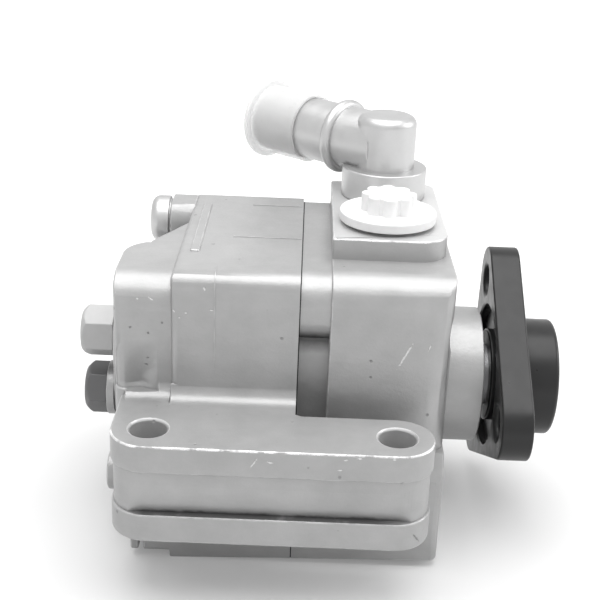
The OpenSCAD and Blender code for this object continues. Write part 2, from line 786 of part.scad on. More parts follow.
function cam_r(a) = (cam_major_r + cam_minor_r) / 2 + (cam_major_r - cam_minor_r) / 2 * cos(2 * a + 180);

module cam_ring() color(steel) difference() {
  along_x(x_cam, x_front_plate) difference() {
    circle(r = plate_r, $fn = fine);
    polygon([for (a = [0 : 3 : 357]) cam_r(a) * [cos(a), sin(a)]]);
  }
  dowel_rods(x_cam - ov, x_front_plate + ov, fit_clear);
  // suction windows through the ring's wall
  for (s = [0, 180]) rotate([s, 0, 0])
    translate([x_cam + cam_w / 2, 0, 0]) rotate([-28, 0, 0]) translate([-cam_w / 4, -3.5, cam_minor_r])
      cube([cam_w / 2, 7, pot_r]);
}

module pressure_plate() color(steel) difference() {
  x_rod(x_pressure_plate, x_cam, plate_r);
  x_rod(x_pressure_plate - ov, x_cam + ov, tail_d / 2 + 0.5);
  x_rod(x_cam - clip_t - 0.8, x_cam + ov, tail_d / 2 + 3.6);
  along_x(x_pressure_plate - ov, x_cam + ov) kidneys(90);
  dowel_rods(x_dowel, x_cam + ov, fit_clear);
  // groove of the seal ring
  along_x(x_groove, x_groove + plate_groove_w) difference() {
    circle(r = pot_r, $fn = fine);
    circle(r = plate_r - 0.8 * plate_seal_d, $fn = fine);
  }
}

module plate_seal() color(rubber)
  translate([x_groove + plate_groove_w / 2, 0, 0]) rotate([0, 90, 0])
    rotate_extrude($fn = fine) translate([pot_r - 0.5 * plate_seal_d, 0]) circle(d = plate_seal_d, $fn = 32);

module disc_spring() color(steel) turned_x()
  polygon([[tail_d / 2 + 4, x_pressure_plate - disc_spring_t], [tail_d / 2 + 4, x_pressure_plate],
    [tail_d / 2 + 5, x_pressure_plate], [pot_r - 5, x_pot + disc_spring_t], [pot_r - 5, x_pot],
    [pot_r - 6, x_pot]]);

module front_bush() color(bronze) difference() {
  x_rod(x_bush, x_bush + front_bush_len, bush_r);
  x_rod(x_bush - ov, x_bush + front_bush_len + ov, shaft_d / 2 + run_clear);
}

module rear_bush() color(bronze) difference() {
  x_rod(x_tail, x_pot, tail_bush_r);
  x_rod(x_tail - ov, x_pot + ov, tail_d / 2 + run_clear);
}

// Lip seal: a shell with a back wall and a lip that stands on the shaft
lip_r = shaft_d / 2 + run_clear;
module shaft_seal() color(rubber) turned_x() difference() {
  polygon([[seal_d / 2, x_seal], [seal_d / 2, x_seal + seal_w], [lip_r + 1.6, x_seal + seal_w],
    [lip_r, x_seal + 0.62 * seal_w], [lip_r, x_seal + 0.5 * seal_w], [lip_r + 0.8, x_seal],
    [lip_r + 2.6, x_seal], [lip_r + 2.6, x_seal + seal_w - 2], [seal_d / 2 - 1.6, x_seal + seal_w - 2],
    [seal_d / 2 - 1.6, x_seal]]);
  translate([lip_r + 2.9, x_seal + 0.3 * seal_w]) circle(r = 0.9, $fn = 32);
}

module garter_spring() color(steel) turned_x()
  translate([lip_r + 2.9, x_seal + 0.3 * seal_w]) circle(r = 0.85, $fn = 32);

// An open retaining ring in its groove
module seal_clip() color(steel) along_x(x_clip, x_clip + clip_t) difference() {
  circle(r = seal_d / 2 + clip_groove - fit_clear, $fn = fine);
  circle(r = seal_d / 2 - 1.6, $fn = fine);
  translate([-2, 0]) square([4, seal_d]);
}

module suction_elbow() color(steel) difference() {
  union() {
    z_rod(z_port, z_collar, collar_d / 2, x_port, inlet_back);
    z_rod(z_port - spigot_len, z_port, spigot_d / 2, x_port, inlet_back);
    translate([x_port, inlet_back, 0]) rotate_extrude($fn = fine)
      round_rect(0, z_collar - ov, upright_d / 2, z_upright, [0, 0, upright_round, 0]);
    on_pipe() cylinder(h = pipe_len, r = pipe_r, $fn = fine);
    // squared neck under the branch
    translate([x_port, inlet_back, z_collar - ov]) rotate([0, 0, 180 - pipe_turn])
      translate([0, -6, 0]) cube([collar_d / 2 - 1, 12, pipe_up + ov]);
    on_pipe() rotate_extrude($fn = fine) translate([pipe_r, bead_at]) circle(d = bead_d, $fn = 32);
  }
  z_rod(z_port - spigot_len - ov, z_pipe, spigot_d / 2 - 2.4, x_port, inlet_back);
  on_pipe() cylinder(h = pipe_len + ov, r = pipe_r - pipe_wall, $fn = fine);
  // groove of the seal ring
  translate([x_port, inlet_back, z_port - spigot_len / 2 - 0.6 * spigot_seal_d])
    linear_extrude(1.2 * spigot_seal_d) difference() {
      circle(d = spigot_d + 2, $fn = fine);
      circle(d = spigot_d - 1.6 * spigot_seal_d, $fn = fine);
    }
}

module elbow_seal() color(rubber)
  translate([x_port, inlet_back, z_port - spigot_len / 2]) rotate_extrude($fn = fine)
    translate([spigot_d / 2 - 0.5 * spigot_seal_d, 0]) circle(d = spigot_seal_d, $fn = 32);

module dust_cap() color(white) on_pipe() rotate_extrude($fn = fine) {
  difference() {
    translate([0, cap_at]) square([pipe_r + cap_clear + cap_wall, cap_len]);
    translate([-ov, cap_at - ov]) square([pipe_r + cap_clear + ov, cap_len - cap_end_t + ov]);
  }
  translate([0, cap_at + cap_len - cap_end_t]) square([cap_flange_d / 2, cap_end_t]);
}

z_stopper = z_port + stopper_gap;
stopper_r = outlet_spot_d / 2 - stopper_clear;
module port_plug() color(white) translate([x_port, -outlet_front, 0]) difference() {
  union() {
    translate([0, 0, z_spot + stopper_clear])
      cylinder(h = z_stopper - z_spot - stopper_clear + ov, r = stopper_r, $fn = fine);
    translate([0, 0, z_stopper]) cylinder(h = stopper_t, d = stopper_d, $fn = fine);
    translate([0, 0, z_stopper + stopper_t - ov]) linear_extrude(knob_h + ov) {
      circle(d = knob_d - 2.6, $fn = fine);
      for (k = [0 : knob_lobes - 1]) rotate(k * 360 / knob_lobes)
        translate([knob_d / 2 - 1.9, 0]) circle(r = 1.9, $fn = 32);
    }
  }
  translate([0, 0, z_spot]) cylinder(h = z_stopper - z_spot, r = stopper_r - stopper_wall, $fn = fine);
}

// A hexagon along X whose outer end is turned to a cone
module hex_head(x_out, x_seat, z, turn) {
  face_r = hex_af / 2 - hex_chamfer;
  intersection() {
    translate([x_out, 0, z]) rotate([turn, 0, 0]) rotate([0, 90, 0])
      cylinder(h = x_seat - x_out, d = hex_af / cos(30), $fn = 6);
    x_cone(x_out, x_out + hex_af, face_r, face_r + hex_af, 0, z);
  }
}

module gallery_plug() color(alu) {
  hex_head(x_pad - plug_hex_h, x_pad, pad_pitch, plug_turn);
  x_rod(x_pad - ov, x_pad + rear_thread_len, rear_thread_d / 2, 0, pad_pitch);
}

module bleed_screw() color(dark) {
  hex_head(x_pad - washer_t - bleed_head_h, x_pad - washer_t, -pad_pitch, bleed_turn);
  x_rod(x_pad - washer_t - ov, x_pad + rear_thread_len - washer_t, rear_thread_d / 2, 0, -pad_pitch);
}

module bleed_washer() color(alu) difference() {
  x_rod(x_pad - washer_t, x_pad, washer_d / 2, 0, -pad_pitch);
  x_rod(x_pad - washer_t - ov, x_pad + ov, rear_thread_d / 2 + 0.2, 0, -pad_pitch);
}

module valve_plug() color(alu) difference() {
  union() {
    turned_x(valve_back, valve_up)
      round_rect(0, x_valve_mouth - plug_head_t, plug_head_d / 2, x_valve_mouth, [0, plug_head_round, 0, 0]);
    x_rod(x_valve_mouth - ov, x_plug_tip, valve_r - fit_clear, valve_back, valve_up);
  }
  translate([x_valve_mouth - plug_head_t - ov, valve_back, valve_up]) rotate([0, 90, 0])
    cylinder(h = plug_socket_depth + ov, d = plug_socket_d, $fn = 6);
  // relief round the seat of the head
  along_x(x_valve_mouth - plug_relief_w, x_valve_mouth + ov) translate([valve_back, valve_up]) difference() {
    circle(d = plug_head_d + ov, $fn = fine);
    circle(r = plug_head_d / 2 - plug_relief, $fn = fine);
  }
  // groove of the seal ring
  along_x(x_valve_mouth + 1.2, x_valve_mouth + 1.2 + 1.2 * plug_seal_d) translate([valve_back, valve_up])
    difference() {
      circle(r = valve_r + ov, $fn = fine);
      circle(r = valve_r - 0.8 * plug_seal_d, $fn = fine);
    }
}

module valve_plug_seal() color(rubber) turned_x(valve_back, valve_up)
  translate([valve_r - 0.5 * plug_seal_d, x_valve_mouth + 1.2 + 0.6 * plug_seal_d])
    circle(d = plug_seal_d, $fn = 32);

// Round wire swept along a helix from the plug's tip to the spool's shoulder
spring_r = valve_r - spool_wall - spring_clear - spring_wire / 2;
spring_steps = 16;
spring_sides = 8;
spring_x0 = x_plug_tip + spring_wire / 2;
spring_x1 = x_spool + spool_shoulder - spring_clear - spring_wire / 2;
spring_points = [for (i = [0 : spring_turns * spring_steps]) let (a = i * 360 / spring_steps,
  x = spring_x0 + (spring_x1 - spring_x0) * i / (spring_turns * spring_steps))
  for (k = [0 : spring_sides - 1]) let (b = k * 360 / spring_sides,
    r = spring_r + spring_wire / 2 * cos(b))
    [x + spring_wire / 2 * sin(b), valve_back + r * cos(a), valve_up + r * sin(a)]];
spring_rings = spring_turns * spring_steps;
spring_faces = concat([[for (k = [0 : spring_sides - 1]) k]],
  [[for (k = [spring_sides - 1 : -1 : 0]) spring_rings * spring_sides + k]],
  [for (i = [0 : spring_rings - 1]) for (k = [0 : spring_sides - 1]) let (n = (k + 1) % spring_sides)
    [i * spring_sides + k, (i + 1) * spring_sides + k, (i + 1) * spring_sides + n, i * spring_sides + n]]);
module valve_spring() color(steel) polyhedron(points = spring_points, faces = spring_faces);

module valve_spool() color(steel) difference() {
  x_rod(x_spool, x_spool + spool_len, valve_r - run_clear, valve_back, valve_up);
  x_rod(x_spool - ov, x_spool + spool_shoulder, valve_r - spool_wall, valve_back, valve_up);
  // waist between the two lands
  along_x(x_spool + spool_len * 0.5, x_spool + spool_len * 0.78)
    translate([valve_back, valve_up]) difference() {
      circle(r = valve_r + ov, $fn = fine);
      circle(r = valve_r - 2, $fn = fine);
    }
}

module spline(grow) {
  circle(r = tail_d / 2 + grow, $fn = fine);
  for (k = [0 : spline_teeth - 1]) rotate(k * 360 / spline_teeth)
    translate([0, -spline_w / 2 - grow]) square([spline_r + grow, spline_w + 2 * grow]);
}

module drive_shaft() color(steel) difference() {
  union() {
    x_rod(x_tail + 0.3, x_cam + ov, tail_d / 2);
    along_x(x_cam + end_clear, x_front_plate) spline(0);
    x_rod(x_front_plate, pilot_len - pilot_cup_depth, shaft_d / 2);
  }
  // groove of the rotor clip
  along_x(x_cam - clip_t, x_cam + end_clear) difference() {
    circle(r = tail_d / 2 + ov, $fn = fine);
    circle(r = tail_d / 2 - 0.6, $fn = fine);
  }
}

// Three lobes joined by straight sides, which cut the lobes a hair inside their tangent
module flange_plan() {
  r = pulley_pcd / 2;
  side_r = lobe_r - 0.02;
  polygon([for (k = [0 : 2]) for (s = [-60, 60]) let (a = lobe_turn + 120 * k)
    [r * cos(a) + side_r * cos(a + s), r * sin(a) + side_r * sin(a + s)]]);
  for (k = [0 : 2]) rotate(lobe_turn + 120 * k) translate([r, 0]) circle(r = lobe_r, $fn = fine);
}

module drive_flange() color(dark) difference() {
  union() {
    along_x(x_back, 0) flange_plan();
    turned_x() round_rect(0, x_back / 2, pilot_d / 2, pilot_len, [0, 0, 1.2, 0]);
  }
  x_rod(x_back - ov, pilot_len, shaft_d / 2);
  x_rod(pilot_len - pilot_cup_depth, pilot_len + ov, pilot_cup_d / 2);
  // recess in the back of the plate, round a raised seat
  along_x(x_back - ov, x_back + back_recess_depth) difference() {
    circle(d = back_recess_d, $fn = fine);
    circle(d = shaft_d + 9, $fn = fine);
  }
  for (k = [0 : 2]) rotate([lobe_turn + 120 * k, 0, 0]) {
    x_rod(x_back - ov, ov, pulley_hole_d / 2, pulley_pcd / 2, 0);
    x_cone(x_back - ov, x_back + edge_break, pulley_hole_d / 2 + edge_break + ov, pulley_hole_d / 2,
      pulley_pcd / 2, 0);
  }
}

module rotor() color(steel) along_x(x_cam + end_clear, x_front_plate - end_clear) difference() {
  circle(r = rotor_r, $fn = fine);
  spline(fit_clear);
  for (k = [0 : vane_n - 1]) rotate(360 * k / vane_n) {
    translate([slot_r, -vane_t / 2 - vane_clear]) square([rotor_r, vane_t + 2 * vane_clear]);
    translate([slot_r, 0]) circle(r = vane_t / 2 + 0.4, $fn = 32);
  }
}

module rotor_clip() color(steel) along_x(x_cam - clip_t + fit_clear, x_cam) difference() {
  circle(r = tail_d / 2 + 2.4, $fn = fine);
  circle(r = tail_d / 2 - 0.6 + fit_clear, $fn = fine);
  translate([-1.5, 0]) square([3, tail_d]);
}

// One vane, with its tip turned to the track
module vane(k) color(dark) along_x(x_cam + end_clear, x_front_plate - end_clear)
  rotate(360 * k / vane_n) intersection() {
    translate([vane_root_r, -vane_t / 2]) square([vane_h + ov, vane_t]);
    circle(r = vane_tip_r, $fn = fine);
  }

rear_housing();
front_housing();
body_gasket();
housing_screws();
dowel_pins();
front_plate();
cam_ring();
pressure_plate();
plate_seal();
disc_spring();
front_bush();
rear_bush();
shaft_seal();
garter_spring();
seal_clip();
suction_elbow();
elbow_seal();
dust_cap();
port_plug();
gallery_plug();
bleed_screw();
bleed_washer();
valve_plug();
valve_plug_seal();
valve_spring();
valve_spool();
drive_shaft();
drive_flange();
rotor();
rotor_clip();
vane(0);  // vane_1
vane(1);  // vane_2
vane(2);  // vane_3
vane(3);  // vane_4
vane(4);  // vane_5
vane(5);  // vane_6
vane(6);  // vane_7
vane(7);  // vane_8
vane(8);  // vane_9
vane(9);  // vane_10
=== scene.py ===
import math
import bmesh
import bpy
from mathutils import Matrix, Vector
from mathutils import noise as ripple
from mathutils.bvhtree import BVHTree


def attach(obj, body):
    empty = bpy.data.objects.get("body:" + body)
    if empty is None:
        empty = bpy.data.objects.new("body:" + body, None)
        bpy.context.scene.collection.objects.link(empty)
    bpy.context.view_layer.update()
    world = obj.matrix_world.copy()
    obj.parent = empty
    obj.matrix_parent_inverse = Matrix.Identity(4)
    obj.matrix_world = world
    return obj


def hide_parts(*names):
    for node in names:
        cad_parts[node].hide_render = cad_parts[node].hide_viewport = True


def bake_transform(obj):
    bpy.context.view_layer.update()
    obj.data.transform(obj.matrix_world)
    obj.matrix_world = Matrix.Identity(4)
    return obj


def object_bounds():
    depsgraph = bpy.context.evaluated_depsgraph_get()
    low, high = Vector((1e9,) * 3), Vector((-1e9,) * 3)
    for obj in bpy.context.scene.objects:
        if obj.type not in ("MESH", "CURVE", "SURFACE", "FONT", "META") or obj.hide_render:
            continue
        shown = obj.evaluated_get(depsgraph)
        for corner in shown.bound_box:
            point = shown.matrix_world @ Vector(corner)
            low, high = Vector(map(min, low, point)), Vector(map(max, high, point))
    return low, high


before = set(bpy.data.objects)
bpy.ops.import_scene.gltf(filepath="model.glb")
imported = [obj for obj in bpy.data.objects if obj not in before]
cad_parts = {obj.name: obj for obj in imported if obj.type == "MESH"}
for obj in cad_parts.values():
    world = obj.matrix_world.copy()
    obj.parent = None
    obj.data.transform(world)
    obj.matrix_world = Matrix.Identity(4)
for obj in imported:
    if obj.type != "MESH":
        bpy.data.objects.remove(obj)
cad_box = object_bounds()


# Rear housing: a pressure die casting in aluminium, left as it comes out of the die, with the foot,
# the screw boss and the rear pad cast on. Only the foot's top and the bores are machined, and its
# edges carry the bright nicks of handling.
REAR_EDGE, CAST_NICK, CAST_RIM = 0.00045, 0.00016, 60.0
JOINT_X, JOINT_FLAT = -0.06135, 0.0003
SAME_POINT, FLAT_TURN, SOFT_TURN = 2e-6, math.radians(0.4), math.radians(45)
NICK_RUN, NICK_SCALE, SNAP_SHARE = 0.0022, 700.0, 0.6
FOOT_TOP_Z, FOOT_TOP_BAND, FOOT_FRONT_Y = 0.005, 0.0011, -0.05
PORT_TOP_Z, PORT_TOP_BAND, PORT_FRONT_Y = 0.0448, 0.0008, -0.012
MOST_WORN, WELL_WORN, LITTLE_WORN, EVEN_WORN = 1.0, 0.7, 0.22, 0.3


def cast_wear(point):
    # The foot's top front edge is the most knocked, and then the top edge of the port block
    if abs(point.z - FOOT_TOP_Z) < FOOT_TOP_BAND and point.y < FOOT_FRONT_Y:
        return MOST_WORN
    on_port = abs(point.z - PORT_TOP_Z) < PORT_TOP_BAND and point.y < PORT_FRONT_Y
    return WELL_WORN if on_port else LITTLE_WORN


def even_wear(point):
    return EVEN_WORN


def set_in_scene(shape, name, soft=True):
    # A soft shape shades smoothly over its rounds and keeps a crease at each sharper edge
    if soft:
        for face in shape.faces:
            face.smooth = True
        for e in shape.edges:
            e.smooth = len(e.link_faces) == 2 and e.calc_face_angle() < SOFT_TURN
    mesh = bpy.data.meshes.new(name)
    shape.to_mesh(mesh)
    shape.free()
    piece = bpy.data.objects.new(name, mesh)
    bpy.context.scene.collection.objects.link(piece)
    return piece


def soft_edged(node, body, edge, bands=2, sharp=40.0, nick=0.0, worn=even_wear):
    # Rounds the outer edges of a node's own shape, and marks on the mesh how worn each round is
    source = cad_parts[node].data.copy()
    if "custom_normal" in source.attributes:
        source.attributes.remove(source.attributes["custom_normal"])
    shape = bmesh.new()
    shape.from_mesh(source)
    bpy.data.meshes.remove(source)
    bmesh.ops.remove_doubles(shape, verts=shape.verts, dist=SAME_POINT)
    bmesh.ops.dissolve_limit(shape, angle_limit=FLAT_TURN, verts=shape.verts, edges=shape.edges)
    mark = shape.loops.layers.float.new("edge")
    skin_tree = BVHTree.FromBMesh(shape)
    rims = [e for e in shape.edges if e.is_convex and e.calc_face_angle(0) > math.radians(sharp)
            and max(abs(v.co.x - JOINT_X) for v in e.verts) > JOINT_FLAT]
    if nick > 0:
        # Long edges are cut into short runs, so that each run takes its own nick
        for rim in list(rims):
            runs = int(rim.calc_length() / NICK_RUN)
            end = rim.verts[0]
            for k in range(runs, 1, -1):
                cut, end = bmesh.utils.edge_split(rim, end, 1.0 / k)
                rims.append(cut)
    made = bmesh.ops.bevel(shape, geom=rims, offset=edge, offset_type="OFFSET", segments=bands,
                           profile=0.5, affect="EDGES", clamp_overlap=False, loop_slide=True, material=-1)
    strip = set(made["faces"])
    for corner in made["verts"]:
        near, facing, _, gap = skin_tree.find_nearest(corner.co)
        if gap > SNAP_SHARE * edge:
            corner.co = near
        elif nick > 0 and all(face in strip for face in corner.link_faces):
            corner.co -= facing * nick * max(0.0, ripple.noise(corner.co * NICK_SCALE))
    for face in strip:
        for corner in face.loops:
            corner[mark] = worn(corner.vert.co)
    bmesh.ops.remove_doubles(shape, verts=shape.verts, dist=SAME_POINT)
    piece = set_in_scene(shape, node + "_finished")
    even = piece.modifiers.new("even_shading", "WEIGHTED_NORMAL")
    even.keep_sharp = True
    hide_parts(node)
    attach(piece, body)
    return piece


def plain_group(name, inputs, outputs):
    group = bpy.data.node_groups.new(name, "ShaderNodeTree")
    for label, kind, value in inputs:
        socket = group.interface.new_socket(label, in_out="INPUT", socket_type=kind)
        if value is not None:
            socket.default_value = value
    for label in outputs:
        group.interface.new_socket(label, in_out="OUTPUT", socket_type="NodeSocketFloat")
    return group, group.nodes.new("NodeGroupInput"), group.nodes.new("NodeGroupOutput")


def noise(tree, vector, scale, detail=4.0, roughness=0.55):
    node = tree.nodes.new("ShaderNodeTexNoise")
    node.inputs["Scale"].default_value = scale
    node.inputs["Detail"].default_value = detail
    node.inputs["Roughness"].default_value = roughness
    tree.links.new(vector, node.inputs["Vector"])
    return node.outputs["Fac"]


def placed(tree, vector, kind, location=(0, 0, 0), turn=(0, 0, 0), scale=(1, 1, 1)):
    node = tree.nodes.new("ShaderNodeMapping")
    node.vector_type = kind
    node.inputs["Location"].default_value = location
    node.inputs["Rotation"].default_value = turn
    node.inputs["Scale"].default_value = scale
    tree.links.new(vector, node.inputs["Vector"])
    return node.outputs["Vector"]


def axes_of(tree, vector):
    node = tree.nodes.new("ShaderNodeSeparateXYZ")
    tree.links.new(vector, node.inputs["Vector"])
    return node.outputs


def length_of(tree, vector):
    node = tree.nodes.new("ShaderNodeVectorMath")
    node.operation = "LENGTH"
    tree.links.new(vector, node.inputs[0])
    return node.outputs["Value"]


def remap(tree, value, low, high, to_low=0.0, to_high=1.0):
    node = tree.nodes.new("ShaderNodeMapRange")
    node.inputs["From Min"].default_value = low
    node.inputs["From Max"].default_value = high
    node.inputs["To Min"].default_value = to_low
    node.inputs["To Max"].default_value = to_high
    tree.links.new(value, node.inputs["Value"])
    return node.outputs["Result"]


def grey(value):
    return (value, value, value)


def blend(tree, factor, a, b):
    node = tree.nodes.new("ShaderNodeMix")
    node.data_type = "RGBA"
    tree.links.new(factor, node.inputs[0])
    for socket, value in zip((node.inputs[6], node.inputs[7]), (a, b)):
        if isinstance(value, tuple):
            socket.default_value = value + (1.0,)
        else:
            tree.links.new(value, socket)
    return node.outputs[2]


def combine(tree, operation, a, b):
    node = tree.nodes.new("ShaderNodeMath")
    node.operation = operation
    for socket, value in zip(node.inputs, (a, b)):
        if isinstance(value, (int, float)):
            socket.default_value = value
        else:
            tree.links.new(value, socket)
    return node.outputs["Value"]


def product(tree, first, *others):
    for other in others:
        first = combine(tree, "MULTIPLY", first, other)
    return first


# Skin of a die casting: slow blotches, flow streaks along the body, a fine grain and a few gas pits
BLOTCH_SCALE, STREAK_SCALE, GRAIN_SCALE, PIT_SCALE = 90.0, 330.0, 1400.0, 260.0
FLOW_STRETCH, CELLS_WITHOUT_PIT, PIT_BLUR = 0.55, 0.84, 0.03
skin, skin_in, skin_out = plain_group(
    "die_cast_skin", [("Vector", "NodeSocketVector", None)], ["Blotch", "Streak", "Grain", "Pits"])
skin_where = skin_in.outputs["Vector"]
blotch = remap(skin, noise(skin, skin_where, BLOTCH_SCALE, detail=5.0, roughness=0.6), 0.3, 0.7)
skin.links.new(blotch, skin_out.inputs["Blotch"])
flow = placed(skin, skin_where, "POINT", scale=(FLOW_STRETCH, 1.0, 1.0))
skin.links.new(noise(skin, flow, STREAK_SCALE, detail=3.0, roughness=0.6), skin_out.inputs["Streak"])
skin.links.new(noise(skin, skin_where, GRAIN_SCALE, detail=3.0, roughness=0.7), skin_out.inputs["Grain"])
pit_cells = skin.nodes.new("ShaderNodeTexVoronoi")
pit_cells.inputs["Scale"].default_value = PIT_SCALE
skin.links.new(skin_where, pit_cells.inputs["Vector"])
pit_split = skin.nodes.new("ShaderNodeSeparateColor")
skin.links.new(pit_cells.outputs["Color"], pit_split.inputs["Color"])
pit_size = remap(skin, pit_split.outputs["Green"], 0.0, 1.0, 0.04, 0.14)
pit_rim = combine(skin, "SUBTRACT", pit_cells.outputs["Distance"], pit_size)
pit_spot = remap(skin, pit_rim, -PIT_BLUR, PIT_BLUR, 1.0, 0.0)
pit_chance = combine(skin, "GREATER_THAN", pit_split.outputs["Red"], CELLS_WITHOUT_PIT)
skin.links.new(combine(skin, "MULTIPLY", pit_spot, pit_chance), skin_out.inputs["Pits"])

# Handling wear: the rounded edges, which the mesh marks, are rubbed bright in patches
RUB_SCALE, RUB_STARTS, RUB_FULL = 190.0, 0.9, 1.08
wear, wear_in, wear_out = plain_group(
    "rubbed_edges", [("Vector", "NodeSocketVector", None), ("Edge", "NodeSocketFloat", 0.0),
                     ("Amount", "NodeSocketFloat", 0.5)], ["Wear"])
patches = noise(wear, wear_in.outputs["Vector"], RUB_SCALE, roughness=0.7)
rub = remap(wear, combine(wear, "ADD", patches, wear_in.outputs["Amount"]), RUB_STARTS, RUB_FULL)
wear.links.new(combine(wear, "MULTIPLY", rub, wear_in.outputs["Edge"]), wear_out.inputs["Wear"])

# Knocks on the front walls, each at its place along the shaft and over it, with its half sizes,
# all in millimetres, and its lean in degrees
BRIGHT_KNOCKS = (
    (-34.2, 19.6, 0.3, 3.5, 26), (-28.2, 22.0, 0.18, 0.9, 20), (-99.0, 31.6, 0.6, 0.2, 30),
    (-102.3, 31.5, 0.3, 0.2, 0), (-85.3, 35.7, 0.3, 0.5, -20), (-83.4, 30.0, 0.55, 0.16, 0),
    (-93.0, 29.2, 0.35, 0.18, 40), (-91.5, 27.6, 0.3, 0.15, 0), (-90.0, 29.0, 0.3, 0.18, 30),
    (-70.9, 1.9, 0.22, 1.4, 32), (-67.0, 2.1, 0.9, 0.28, 8), (-50.3, 0.8, 0.5, 0.22, 0),
    (-49.0, 3.6, 0.5, 0.25, 0), (-45.8, 4.2, 0.7, 0.35, 0), (-37.4, 4.2, 0.4, 0.25, 0))
DARK_KNOCKS = (
    (-104.2, 23.8, 0.45, 0.35, 0), (-99.7, 22.4, 0.3, 0.3, 0), (-96.1, 25.3, 0.3, 0.35, 0),
    (-99.8, 15.3, 0.6, 0.25, -20), (-100.3, 13.3, 0.4, 0.3, 0), (-30.6, -18.6, 0.22, 1.7, -32))
KNOCK_RAGGED_SCALE, KNOCK_RAGGED, KNOCK_DEEP = 1500.0, 0.45, 10.0
WALLS_FRONT_Y, FOOT_KNOCKS_BELOW = -0.02, 6
knocks, knocks_in, knocks_out = plain_group(
    "front_knocks", [("Vector", "NodeSocketVector", None)], ["Bright", "Dark"])
knocks_where = knocks_in.outputs["Vector"]
ragged = remap(knocks, noise(knocks, knocks_where, KNOCK_RAGGED_SCALE, detail=3.0), 0.3, 0.7,
               -KNOCK_RAGGED, KNOCK_RAGGED)
knocks_y = axes_of(knocks, knocks_where)["Y"]
on_walls = combine(knocks, "LESS_THAN", knocks_y, WALLS_FRONT_Y)
on_foot = combine(knocks, "LESS_THAN", knocks_y, FOOT_FRONT_Y)
for label, marks in (("Bright", BRIGHT_KNOCKS), ("Dark", DARK_KNOCKS)):
    total = 0.0
    for along, over, half_x, half_z, lean in marks:
        spot = placed(knocks, knocks_where, "TEXTURE", (along / 1000, 0, over / 1000),
                      (0, math.radians(lean), 0), (half_x / 1000, KNOCK_DEEP, half_z / 1000))
        edge_of = combine(knocks, "ADD", length_of(knocks, spot), ragged)
        shown = combine(knocks, "MULTIPLY", remap(knocks, edge_of, 0.7, 1.1, 1.0, 0.0),
                        on_foot if over < FOOT_KNOCKS_BELOW else on_walls)
        total = combine(knocks, "MAXIMUM", shown, total)
    knocks.links.new(total, knocks_out.inputs[label])

# Painted shade in the foot's cove and along the crease of the recessed band, the lighter machined
# rims of the foot bores, and a painted highlight over the top of the port block
SEAT_Z, CREASE_Z, PORT_SEAT_Z = -0.0141, 0.0219, 0.0446
COVE_FRONT_Y, COVE_STARTS, COVE_ENDS = -0.045, (-0.1045, -0.098), (-0.04, -0.03)
BAND_FRONT_Y, BAND_STARTS, BAND_ENDS = -0.024, -0.0613, -0.0537
BORES = ((-0.0974, -0.0484), (-0.0362, -0.0484))
BORE_RIM, BORE_LIP = (0.00455, 0.0047), (0.0052, 0.00535)
places, places_in, places_out = plain_group(
    "bore_rims_highlight_and_shade", [("Vector", "NodeSocketVector", None)], ["Grime", "Bore"])
places_where = places_in.outputs["Vector"]
axes = axes_of(places, places_where)
uneven = remap(places, noise(places, places_where, 240.0), 0.3, 0.7, -0.0004, 0.0004)
height_z = combine(places, "ADD", axes["Z"], uneven)
# Painted shade: the cove just above the foot's seat is darkened
cove = product(
    places, remap(places, height_z, SEAT_Z + 0.0001, SEAT_Z + 0.001, 0.85, 0.0),
    combine(places, "GREATER_THAN", axes["Z"], SEAT_Z - 0.0001),
    combine(places, "LESS_THAN", axes["Y"], COVE_FRONT_Y),
    remap(places, axes["X"], *COVE_STARTS), remap(places, axes["X"], *COVE_ENDS, 1.0, 0.0))
# Painted shade: a dark band along the crease of the recessed band
crease_line = combine(places, "MINIMUM", remap(places, height_z, CREASE_Z - 0.0045, CREASE_Z - 0.0008),
                      remap(places, height_z, CREASE_Z + 0.0006, CREASE_Z + 0.0028, 1.0, 0.0))
crease = product(
    places, crease_line, combine(places, "LESS_THAN", axes["Y"], BAND_FRONT_Y),
    combine(places, "LESS_THAN", axes["X"], BAND_ENDS),
    combine(places, "GREATER_THAN", axes["X"], BAND_STARTS))
places.links.new(combine(places, "MAXIMUM", cove, crease), places_out.inputs["Grime"])
rims_and_highlight = 0.0
for along, out in BORES:
    spread = length_of(places, placed(places, places_where, "POINT", (-along, -out, 0), scale=(1, 1, 0)))
    lip = combine(places, "MULTIPLY", remap(places, spread, *BORE_RIM, 0.25, 0.65),
                  remap(places, spread, *BORE_LIP, 1.0, 0.0))
    rims_and_highlight = combine(places, "MAXIMUM", lip, rims_and_highlight)
# Painted highlight: everything above the port seat's height, the port block's top, is lightened
seat_highlight = combine(places, "GREATER_THAN", axes["Z"], PORT_SEAT_Z)
rims_and_highlight = combine(places, "MAXIMUM", combine(places, "MULTIPLY", seat_highlight, 0.5), rims_and_highlight)
places.links.new(rims_and_highlight, places_out.inputs["Bore"])


def new_finish(name):
    material = bpy.data.materials.new(name)
    material.use_nodes = True
    tree = material.node_tree
    where = tree.nodes.new("ShaderNodeTexCoord").outputs["Object"]
    return material, tree, tree.nodes["Principled BSDF"], where


def with_group(tree, group, where):
    node = tree.nodes.new("ShaderNodeGroup")
    node.node_tree = group
    tree.links.new(where, node.inputs["Vector"])
    return node


def bumped(tree, shader, height, strength, distance):
    bump = tree.nodes.new("ShaderNodeBump")
    bump.inputs["Strength"].default_value = strength
    bump.inputs["Distance"].default_value = distance
    tree.links.new(height, bump.inputs["Height"])
    tree.links.new(bump.outputs["Normal"], shader.inputs["Normal"])
